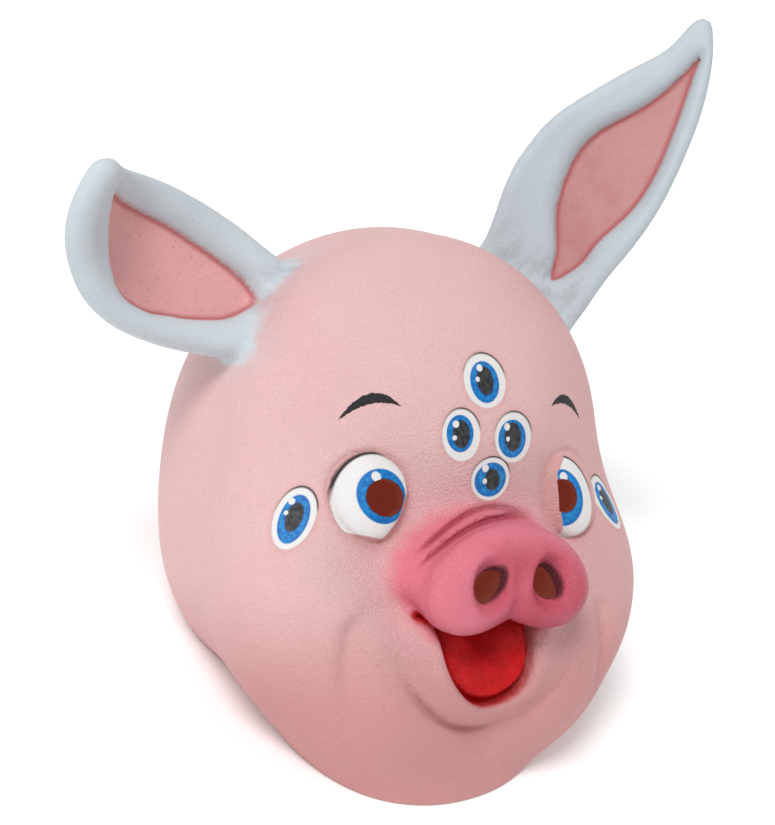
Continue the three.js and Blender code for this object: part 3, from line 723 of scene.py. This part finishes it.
def make_mask():
    """The whole mask as one closed mesh. The grid is fine over the face, coarse over the rest and inside."""
    fine, coarse, inner = 1.4, 2.5, 5
    lines = [
        grid_lines((-206, -76, 76, 170), (coarse, fine, coarse)),
        grid_lines((-126, 44, 122), (3, fine)),
        grid_lines((-178, -108, 34, 270), (2.7, fine, coarse)),
    ]
    points, quads = surface_of(skin, lines, reach=1.2)
    mask = closed_mesh("pig_mask", at_rest(points), quads)
    inner_lines = [grid_lines(span, (inner,)) for span in ((-140, 140), (-150, 126), (-190, 160))]
    points, quads = surface_of(hollow, inner_lines, reach=3)
    cut(mask, closed_mesh("hollow", at_rest(points), quads))
    for eye in MAIN_EYES:
        cut(mask, rod(*eye["hole"], lean=0, start=40, stop=100, fold=eye.get("hole_fold")))
    for side in (-1, 1):
        cut(mask, rod(*nostril(side), start=84, stop=125))
    cut(mask, ground_block())
    return mask


def keep_measures(mesh):
    """Writes on the mesh what the paint goes by: distances, and places in the sculpt and on the ears."""
    count = len(mesh.vertices)
    flat = np.empty(count * 3)
    mesh.vertices.foreach_get("co", flat)
    x, f, z = in_sculpt(flat.reshape(-1, 3))
    bodies = [ear_body(ear, x, f, z) for ear in EARS]
    places = [np.stack(flat_ear(ear, x, f, z)) for ear in EARS]
    plain = head(x, f, z)
    panels = []
    off_panel = 30
    for ear, body, (across, t, rise) in zip(EARS, bodies, places):
        on_front = (body < 3) & (rise > -3.5) & (body < plain + 6)
        panels.append(np.where(on_front, looked_up(ear["sunk"], across, t), off_panel))
    measures = {
        "depth": np.clip(-skin(x, f, z), -5, 10),
        "ear": np.clip(plain - np.minimum(*bodies), -60, 60),
        "panel": np.clip(np.minimum(*panels), -off_panel, off_panel),
        "snout": np.clip(snout(x, f, z, 0), -5, 60),
        "fold": snout_folds(x, f, z),
        "mouth": np.clip(mouth_outline(x, z, 0), -30, 60),
        "tongue": np.clip(tongue(x, f, z), -5, 30),
    }
    for name, value in measures.items():
        mesh.attributes.new(name, "FLOAT", "POINT").data.foreach_set("value", value.astype(np.float32))
    on_ear = np.where(bodies[0] < bodies[1], places[0], places[1]).T
    for name, value in (("sculpt", np.stack([x, f, z], axis=1)), ("on_ear", on_ear)):
        value = value.astype(np.float32).ravel()
        mesh.attributes.new(name, "FLOAT_VECTOR", "POINT").data.foreach_set("vector", value)
    return measures["depth"]


class Paint:
    """Short calls that build one material's nodes."""

    def __init__(self, name):
        self.material = bpy.data.materials.new(name)
        self.material.use_nodes = True
        self.tree = self.material.node_tree
        self.shader = self.tree.nodes["Principled BSDF"]

    def put(self, socket, value):
        """Links a socket to a node's output, or gives it a plain value."""
        if isinstance(value, bpy.types.NodeSocket):
            self.tree.links.new(value, socket)
        else:
            socket.default_value = value

    def finish(self, inputs):
        """Puts the shader's own inputs."""
        for name, value in inputs.items():
            self.put(self.shader.inputs[name], value)

    def node(self, kind, inputs=(), **settings):
        made = self.tree.nodes.new("ShaderNode" + kind)
        for name, value in settings.items():
            setattr(made, name, value)
        for key, value in dict(inputs).items():
            self.put(made.inputs[key], value)
        return made

    def math(self, operation, a, b=0.0):
        return self.node("Math", {0: a, 1: b}, operation=operation).outputs[0]

    def vector(self, operation, a, b=(0, 0, 0), output="Value"):
        return self.node("VectorMath", {0: a, 1: b}, operation=operation).outputs[output]

    def ramp(self, value, low, high, bottom=0.0, top=1.0):
        """A soft step from bottom at low to top at high."""
        inputs = {"Value": value, "From Min": low, "From Max": high, "To Min": bottom, "To Max": top}
        return self.node("MapRange", inputs, interpolation_type="SMOOTHSTEP").outputs[0]

    def measure(self, name, output="Fac"):
        return self.node("Attribute", attribute_name=name).outputs[output]

    def place(self):
        return self.measure("sculpt", "Vector")

    def parts(self, vector):
        """A vector's first two numbers."""
        separate = self.node("SeparateXYZ", {0: vector})
        return separate.outputs[0], separate.outputs[1]

    def front_plane(self):
        """The sculpt's place seen from the front: x and z as a flat vector."""
        separate = self.node("SeparateXYZ", {0: self.place()})
        return self.node("CombineXYZ", {"X": separate.outputs[0], "Y": separate.outputs[2]}).outputs[0]

    def ragged(self, distance, scale, amount, detail=3.0):
        """A distance that wanders by up to amount either way, for an uneven edge."""
        return self.math("ADD", distance, self.ramp(self.noise(scale, detail), 0.3, 0.7, -amount, amount))

    def noise(self, scale, detail=3.0, roughness=0.5, vector=None):
        """Noise with about scale features in a millimetre of the sculpt."""
        inputs = {"Vector": vector or self.place(), "Scale": scale, "Detail": detail, "Roughness": roughness}
        return self.node("TexNoise", inputs).outputs["Fac"]

    def cracks(self, scale):
        """Distance to the nearest border between cells, with about scale cells in a millimetre."""
        inputs = {"Vector": self.place(), "Scale": scale}
        return self.node("TexVoronoi", inputs, feature="DISTANCE_TO_EDGE").outputs["Distance"]

    def mix(self, factor, a, b):
        """A colour: a where the factor is 0, b where it is 1."""
        return self.node("Mix", {0: factor, 6: a, 7: b}, data_type="RGBA").outputs[2]

    def blend_number(self, factor, a, b):
        """A number: a where the factor is 0, b where it is 1."""
        return self.node("Mix", {0: factor, 2: a, 3: b}, data_type="FLOAT").outputs[0]

    def highest(self, values):
        return functools.reduce(lambda a, b: self.math("MAXIMUM", a, b), values)

    def times(self, *values):
        return functools.reduce(lambda a, b: self.math("MULTIPLY", a, b), values)

    def oval(self, vector, centre, half, lean=0.0):
        """How far out of an ellipse: 1 on its edge."""
        inputs = {
            "Vector": vector,
            "Location": (centre[0], centre[1], 0),
            "Rotation": (0, 0, math.radians(lean)),
            "Scale": (half[0], half[1], 1),
        }
        return self.vector("LENGTH", self.node("Mapping", inputs, vector_type="TEXTURE").outputs[0])

    def inside(self, distance, edge=1.0, soft=0.04):
        """1 inside an edge and 0 outside it."""
        return self.ramp(distance, edge + soft, edge - soft)


def side_plane(paint, origin, right):
    """The sculpt's place from the origin, as a flat vector along right and z, and how far away it is."""
    away = paint.vector("SUBTRACT", paint.place(), origin, "Vector")
    u, v = (paint.vector("DOT_PRODUCT", away, axis) for axis in (right, (0, 0, 1)))
    return paint.node("CombineXYZ", {"X": u, "Y": v}).outputs[0], paint.vector("LENGTH", away)


# The small painted eyes: white, iris and pupil as centre and half sizes, and two glints as centre and radius.
# The side eyes are alike. Each has its place and its lean, and is turned outward by SIDE_EYE_BEARING.
FOREHEAD_EYES = [
    {
        "white": ((0, 59.9), (12.2, 12.9)), "iris": ((-0.2, 59.3), (8.4, 10)),
        "pupil": ((-0.1, 60), (4.9, 7)), "glints": [((-2.5, 66), 1.7), ((-4.3, 60.6), 1.2)], "lean": 4,
    },
    {
        "white": ((-14.4, 34.3), (10.2, 12.2)), "iris": ((-15.1, 35), (7.2, 8.8)),
        "pupil": ((-14.5, 34.7), (4.6, 6.7)), "glints": [((-17.5, 39.4), 1.7), ((-18.1, 33), 1.2)], "lean": 3,
    },
    {
        "white": ((16.5, 33), (12.1, 12)), "iris": ((15.8, 32.3), (9.1, 9.2)),
        "pupil": ((16, 33.2), (5.5, 7)), "glints": [((12.1, 38), 1.8), ((12.8, 32.2), 1.2)], "lean": 8,
    },
    {
        "white": ((3.2, 13.4), (11.7, 10.1)), "iris": ((3.2, 13), (9.6, 8.1)),
        "pupil": ((4.2, 13), (4.6, 5.2)), "glints": [((-0.4, 18.5), 1.9), ((-0.3, 12.3), 1.3)], "lean": 12,
    },
]
SIDE_EYE = {
    "white": ((0, 0), (9, 13.8)), "iris": ((0, -0.3), (6.5, 11)), "pupil": ((0.2, 0.6), (3.7, 6.6)),
    "glints": [((-1.8, 7.6), 1.5), ((-3.6, 2.5), 1.0)],
}
SIDE_EYE_PLACES = [((-93.5, 58.5, -3), -11), ((87.8, 61.5, -1), 13)]
SIDE_EYE_BEARING = math.radians(52)


def eye_layers(paint, plane, eye, shown, lean):
    """One painted eye's masks: painted shade round it, white, the dark line over its top, iris, its pale
    ring, pupil and glints.
    """
    (cx, cz), _ = eye["white"]
    u, v = paint.parts(plane)
    white, iris, pupil = (paint.oval(plane, *eye[name], lean) for name in ("white", "iris", "pupil"))
    glints = [paint.inside(paint.oval(plane, at, (r, r)), 1, 0.15) for at, r in eye["glints"]]
    over = paint.times(paint.ramp(v, cz + 1, cz + 6), paint.ramp(u, cx - 9, cx + 1, 0.35, 1))
    layers = {
        "shade": paint.ramp(white, 1.35, 0.95, 0, 0.25),
        "white": paint.inside(white),
        "line": paint.times(over, paint.inside(white, 1.07, 0.04)),
        "iris": paint.inside(iris),
        "ring": paint.times(paint.ramp(iris, 0.93, 0.8), paint.ramp(pupil, 0.95, 1.3)),
        "pupil": paint.inside(pupil, 1, 0.06),
        "glints": paint.highest(glints),
    }
    return {name: paint.times(shown, layer) for name, layer in layers.items()}


def main_eye_layers(paint, plane, front, eye):
    """A large eye's masks. Folds of skin cut it off toward the nose, a dark line runs over its top and
    painted shade lies round it.
    """
    (cx, cz), _ = eye["white"]
    u, v = paint.parts(plane)
    shown = front
    for (a, b), reach in eye["folds"]:
        out = paint.math("ADD", paint.times(u, a), paint.times(v, b))
        shown = paint.times(shown, paint.ramp(out, reach + 0.35, reach - 0.35))
    white = paint.oval(plane, *eye["white"], eye["lean"])
    iris = paint.oval(plane, *eye["iris"])
    hole = paint.oval(plane, *eye["hole"])
    centre, radius = eye["glint"]
    glint = paint.oval(plane, centre, (radius, radius))
    outward = paint.math("MULTIPLY", paint.math("SUBTRACT", u, cx), eye["side"])
    over = paint.times(paint.ramp(v, cz - 3, cz + 8), paint.ramp(outward, -12, -3))
    in_white = paint.times(shown, paint.inside(white, 1, 0.02))
    return {
        "shade": paint.times(front, paint.ramp(white, 1.3, 0.95, 0, 0.4)),
        "white": in_white,
        "line": paint.times(shown, paint.inside(white, 1.055, 0.025), over),
        "iris": paint.times(in_white, paint.inside(iris, 1, 0.03)),
        "ring": paint.times(in_white, paint.ramp(iris, 0.9, 0.78), paint.ramp(hole, 1.0, 1.15)),
        "pupil": paint.times(shown, paint.inside(hole, 1.03, 0.03)),
        "glints": paint.times(shown, paint.inside(glint, 1, 0.15)),
    }


def brow_mask(paint, front):
    """Both brows: a stroke that rises and falls along a parabola, thin at its ends."""
    u, v = paint.parts(paint.front_plane())
    across = paint.math("ABSOLUTE", u)
    start, stop, peak, top = 44, 72, 54.5, 51.6
    off_peak = paint.math("SUBTRACT", across, peak)
    centre = paint.math("SUBTRACT", top, paint.times(off_peak, off_peak, 0.0355))
    off = paint.math("ABSOLUTE", paint.math("SUBTRACT", v, centre))
    s = paint.math("DIVIDE", paint.math("SUBTRACT", across, start), stop - start)
    arch = paint.math("SINE", paint.times(paint.node("Clamp", {0: s}).outputs[0], math.pi))
    half = paint.math("SUBTRACT", paint.times(paint.math("POWER", arch, 0.6), 2.9), 0.45)
    half = paint.ragged(half, 0.6, 0.25)
    return paint.times(front, paint.ramp(paint.math("SUBTRACT", off, half), 0.25, -0.25))


def skin_colour(paint, clouds):
    """Pink, with painted shade deepening it toward the chin and the pig's left, and a few darker specks."""
    u, v = paint.parts(paint.front_plane())
    colour = paint.mix(clouds, SKIN_DEEP, SKIN_PALE)
    # Painted shade toward the chin and on the pig's left.
    colour = paint.mix(paint.ramp(v, -25, -95, 0, 0.8), colour, SKIN_PAINTED_SHADE)
    colour = paint.mix(paint.ramp(u, 20, 90, 0, 0.3), colour, SKIN_PAINTED_SHADE)
    return paint.mix(paint.ramp(paint.noise(0.9, 2), 0.68, 0.8, 0, 0.2), colour, SKIN_SPECK)


def rose_over(paint, colour, snout_far):
    """Rose on the snout and its folds, sprayed on with a soft edge, painted light on its top and the pig's
    right, painted shade in the creases and below.
    """
    u, v = paint.parts(paint.front_plane())
    rose = paint.mix(paint.ramp(paint.noise(0.05), 0.35, 0.65), ROSE_DEEP, ROSE_PALE)
    # Painted shade below the snout's middle.
    rose = paint.mix(paint.ramp(v, -30, -52, 0, 0.5), rose, ROSE_PAINTED_SHADE)
    # Painted light: the snout's top and the pig's right side are lighter.
    light = paint.highest([paint.ramp(u, -6, -34, 0, 0.8), paint.ramp(v, -24, -8, 0, 0.8)])
    rose = paint.mix(light, rose, ROSE_PAINTED_LIGHT)
    # Painted shade in the creases.
    rose = paint.mix(paint.ramp(paint.measure("fold"), 0.1, 1.2, 0, 0.8), rose, ROSE_PAINTED_SHADE)
    # Pale pink round the snout, partly overspray and partly painted light.
    colour = paint.mix(paint.ramp(snout_far, 30, 2, 0, 0.55), colour, BLUSH_AND_PAINTED_LIGHT)
    return paint.mix(paint.ramp(snout_far, 10, 1), colour, rose)


def nostril_painted_shade(paint, f):
    """Where painted shade darkens the nostrils and their upper left edge."""
    plane = paint.front_plane()
    rings = []
    for side in (-1, 1):
        (x, z), half, lean = nostril(side)
        off = paint.oval(plane, (x + 1.6, z + 1.3), half, lean)
        rings.append(paint.ramp(off, 1.35, 0.95))
    return paint.times(paint.highest(rings), paint.ramp(f, 70, 80, 0, 0.9))


def mouth_over(paint, colour, in_mouth):
    """The red mouth, with painted shade in the gutter round the brighter tongue."""
    red = paint.mix(paint.ramp(paint.noise(0.12), 0.3, 0.7), TONGUE_DEEP, TONGUE_PALE)
    # Painted shade in the gutter.
    red = paint.mix(paint.ramp(paint.measure("tongue"), 0.3, 2.2), red, GUTTER_PAINTED_SHADE)
    return paint.mix(in_mouth, colour, red)


def ears_over(paint, colour, clouds):
    """Blue-grey ears with a sunk pink panel; the pig's right ear has painted light. They wrinkle at their
    roots, where the grey thins out; painted shade lies in the wrinkles and the panel's crease.
    """
    on_ear = paint.measure("on_ear", "Vector")
    spray = paint.ragged(paint.measure("ear"), 0.12, 1.5)
    grey = paint.ramp(spray, -7, 1)
    mist = paint.ramp(spray, -15, -1, 0, 0.3)
    grey_colour = paint.mix(clouds, GREY_DEEP, GREY_PALE)
    # Painted light on the ear on the pig's right, in its grey and its panel.
    painted_light_on_right_ear = paint.ramp(paint.parts(paint.place())[0], 10, -10)
    grey_colour = paint.mix(paint.times(painted_light_on_right_ear, 0.25), grey_colour, GREY_PAINTED_LIGHT)
    root = paint.ramp(paint.parts(on_ear)[1], 30, 8)
    stretched = paint.vector("MULTIPLY", on_ear, (0.3, 0.12, 0.1), "Vector")
    folds = paint.ramp(paint.noise(0.45, 2, 0.5, stretched), 0.4, 0.75)
    # Painted shade in the wrinkles at the root.
    grey_colour = paint.mix(paint.times(root, folds, 0.3), grey_colour, GREY_FOLD_SHADE)
    colour = paint.mix(paint.highest([grey, mist]), colour, grey_colour)
    panel = paint.measure("panel")
    in_panel = paint.times(paint.ramp(panel, 0.9, -1.1), grey)
    flesh = paint.mix(paint.ramp(paint.noise(0.035), 0.4, 0.65), PANEL_PALE, PANEL_DEEP)
    # Painted light on the right ear's panel.
    flesh = paint.mix(paint.times(painted_light_on_right_ear, 0.5), flesh, PANEL_PAINTED_LIGHT)
    # Painted shade in the panel's wrinkles and along its crease.
    wrinkles = paint.ramp(paint.noise(2.2, 2, 0.5, stretched), 0.6, 0.72, 0, 0.35)
    flesh = paint.mix(wrinkles, flesh, PANEL_CREASE_SHADE)
    flesh = paint.mix(paint.ramp(panel, -4, -0.6, 0, 0.8), flesh, PANEL_CREASE_SHADE)
    return paint.mix(in_panel, colour, flesh), grey, paint.times(root, grey, folds)


def all_eyes(paint, front):
    """Every painted eye's masks together."""
    plane = paint.front_plane()
    layers = [main_eye_layers(paint, plane, front, eye) for eye in MAIN_EYES]
    layers += [eye_layers(paint, plane, eye, front, eye["lean"]) for eye in FOREHEAD_EYES]
    for place, lean in SIDE_EYE_PLACES:
        side = 1 if place[0] > 0 else -1
        right = (math.cos(SIDE_EYE_BEARING), -side * math.sin(SIDE_EYE_BEARING), 0)
        flat, far = side_plane(paint, place, right)
        layers.append(eye_layers(paint, flat, SIDE_EYE, paint.ramp(far, 24, 20), lean))
    return {name: paint.highest([layer[name] for layer in layers]) for name in layers[0]}


def eyes_over(paint, colour, mask):
    """White, blue and black paint of the eyes, put on with a brush, over painted shade round each eye."""
    brush = paint.ramp(paint.noise(0.5), 0.35, 0.65)
    # Painted shade round each eye.
    colour = paint.mix(mask["shade"], colour, SKIN_PAINTED_SHADE)
    colour = paint.mix(mask["line"], colour, LID_LINE)
    colour = paint.mix(mask["white"], colour, EYE_WHITE)
    colour = paint.mix(mask["iris"], colour, paint.mix(brush, IRIS_DEEP, IRIS_MIDDLE))
    strokes = paint.ramp(brush, 0, 1, 0.05, 0.4)
    colour = paint.mix(paint.times(mask["ring"], strokes), colour, IRIS_PALE)
    colour = paint.mix(mask["pupil"], colour, paint.mix(brush, PUPIL_DEEP, PUPIL_PALE))
    return paint.mix(mask["glints"], colour, EYE_WHITE)


def leather(paint, strength):
    """The height of the skin's fine leathery grain."""
    grain = paint.noise(0.95, 4, 0.62)
    fine = paint.ramp(paint.cracks(0.9), 0, 0.3, 0, 0.3)
    return paint.times(paint.math("ADD", paint.times(grain, 1.8), fine), strength)


def painted_rubber():
    """The painted outside: pink skin, rose snout, red mouth, blue-grey ears, eyes and brows."""
    paint = Paint("painted_rubber")
    x, f = paint.parts(paint.place())
    front = paint.ramp(f, 34, 38)
    clouds = paint.noise(0.03, 4)
    snout_off = paint.measure("snout")
    snout_far = paint.ragged(snout_off, 0.12, 0.8, 4)
    further_in = paint.ramp(x, 5, 30, 0, 1.2)
    mouth_far = paint.math("ADD", paint.ragged(paint.measure("mouth"), 0.3, 0.2), further_in)
    in_mouth = paint.times(paint.ramp(mouth_far, 2.2, -0.6), paint.ramp(snout_off, 0.25, 0.8), front)
    mask = all_eyes(paint, front)

    colour = skin_colour(paint, clouds)
    colour = rose_over(paint, colour, snout_far)
    # Painted shade in the nostrils.
    colour = paint.mix(nostril_painted_shade(paint, f), colour, NOSTRIL_PAINTED_SHADE)
    colour = mouth_over(paint, colour, in_mouth)
    colour, grey, root_folds = ears_over(paint, colour, clouds)
    colour = eyes_over(paint, colour, mask)
    colour = paint.mix(brow_mask(paint, front), colour, BROW_BLACK)

    # Grain is strongest on the cheeks beside the snout, and weak on the forehead, the ears and the eyes.
    beside = paint.times(paint.ramp(snout_off, 48, 14), front)
    strength = paint.blend_number(beside, 0.5, 1.0)
    strength = paint.blend_number(paint.highest([mask["white"], grey]), strength, 0.22)
    strength = paint.blend_number(in_mouth, strength, 0.9)
    height = paint.math("SUBTRACT", leather(paint, strength), paint.times(root_folds, 0.9))
    relief = paint.node("Bump", {"Strength": 0.75, "Distance": 0.0012, "Height": height}).outputs[0]
    on_snout = paint.ramp(snout_far, 4, 0, 0, 0.75)
    gloss = paint.highest([in_mouth, paint.times(mask["white"], 0.5), on_snout])
    roughness = paint.blend_number(gloss, 0.48, 0.16)
    paint.finish({"Base Color": colour, "Normal": relief, "Roughness": roughness, "Specular IOR Level": 0.3})
    return paint.material


def raw_rubber():
    """The unpainted inside, with a painted glow, an emission in place of the little red light that comes
    through the thin wall.
    """
    paint = Paint("raw_rubber")
    colour = paint.mix(paint.noise(0.06, 4), RAW_DEEP, RAW_PALE)
    grain = paint.noise(0.5, 4)
    relief = paint.node("Bump", {"Strength": 0.3, "Distance": 0.0006, "Height": grain}).outputs[0]
    paint.finish({"Base Color": colour, "Normal": relief, "Roughness": 0.65})
    # A painted glow: emission in place of the light that comes through the wall.
    paint.finish({"Emission Color": RAW_PAINTED_GLOW, "Emission Strength": RAW_PAINTED_GLOW_STRENGTH})
    return paint.material


def dress(mask):
    """Paints the mask: the raw rubber goes where a face lies deeper than the paint."""
    mesh = mask.data
    depth = keep_measures(mesh)
    mesh.materials.clear()
    mesh.materials.append(painted_rubber())
    mesh.materials.append(raw_rubber())
    totals = np.empty(len(mesh.polygons), int)
    mesh.polygons.foreach_get("loop_total", totals)
    corners_of = np.empty(totals.sum(), int)
    mesh.loops.foreach_get("vertex_index", corners_of)
    starts = np.concatenate([[0], np.cumsum(totals)[:-1]])
    deep = np.maximum.reduceat(depth[corners_of], starts) > PAINT_DEPTH
    mesh.polygons.foreach_set("material_index", deep.astype(np.int32))
    mesh.shade_smooth()
    mesh.set_sharp_from_angle(angle=math.radians(60))


def floor_material():
    """Even white, a little brighter than the light alone makes it."""
    paint = Paint("floor")
    clouds = paint.noise(0.8, 2, vector=paint.node("TexCoord").outputs["Object"])
    colour = paint.mix(clouds, (0.93, 0.93, 0.93, 1), (0.95, 0.95, 0.95, 1))
    paint.finish({"Base Color": colour, "Roughness": 0.9, "Specular IOR Level": 0.1})
    paint.finish({"Emission Color": (1, 1, 1, 1), "Emission Strength": 0.1})
    return paint.material


def make_floor():
    """A wide white floor, a hair below the rim."""
    reach, below = 6, 0.0005
    mesh = bpy.data.meshes.new("floor")
    corner = [(-reach, -reach, 0), (reach, -reach, 0), (reach, reach, 0), (-reach, reach, 0)]
    mesh.from_pydata(corner, [], [(0, 1, 2, 3)])
    floor = bpy.data.objects.new("floor", mesh)
    floor.location.z = -below
    bpy.context.scene.collection.objects.link(floor)
    mesh.materials.append(floor_material())


def sculpt_direction(x, f, z):
    """A direction of the sculpt, as it points once the mask lies on its rim."""
    return Vector((x, *tipped(f, z)))


def make_camera():
    """The photograph's camera, on the pig's right, with the sculpt where the photograph shows it."""
    up = np.array((0, 0, 1))
    left, down = (np.array(SCULPT_ORIGIN_PIXEL) - np.array(PICTURE) / 2) * CAMERA_DISTANCE / FOCAL_PIXELS
    place = at_rest((TOWARD_CAMERA * CAMERA_DISTANCE - ACROSS_VIEW * left + up * down)[None])[0]
    axes = [sculpt_direction(*axis) for axis in (ACROSS_VIEW, up, TOWARD_CAMERA)]
    camera = bpy.data.objects.new("camera", bpy.data.cameras.new("camera"))
    camera.matrix_world = Matrix.Translation(Vector(place)) @ Matrix(axes).transposed().to_4x4()
    camera.data.lens = FOCAL_PIXELS * camera.data.sensor_width / max(PICTURE)
    camera.data.clip_end = 20
    bpy.context.scene.collection.objects.link(camera)
    bpy.context.scene.camera = camera


def make_light():
    """Soft studio light: a broad key from the camera's upper left and an even surround."""
    sun = bpy.data.lights.new("key", "SUN")
    sun.energy = KEY_STRENGTH
    sun.angle = math.radians(KEY_SPREAD)
    key = bpy.data.objects.new("key", sun)
    key.rotation_euler = sculpt_direction(*KEY_FROM).to_track_quat("Z", "Y").to_euler()
    bpy.context.scene.collection.objects.link(key)
    world = bpy.data.worlds.new("surround")
    bpy.context.scene.world = world
    world.use_nodes = True
    background = world.node_tree.nodes["Background"]
    background.inputs["Color"].default_value = (1, 1, 1, 1)
    background.inputs["Strength"].default_value = SURROUND_STRENGTH
    bpy.context.scene.view_settings.view_transform = "Standard"


mask = make_mask()
dress(mask)
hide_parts("mask")
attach(mask, "root")
make_floor()
make_camera()
make_light()
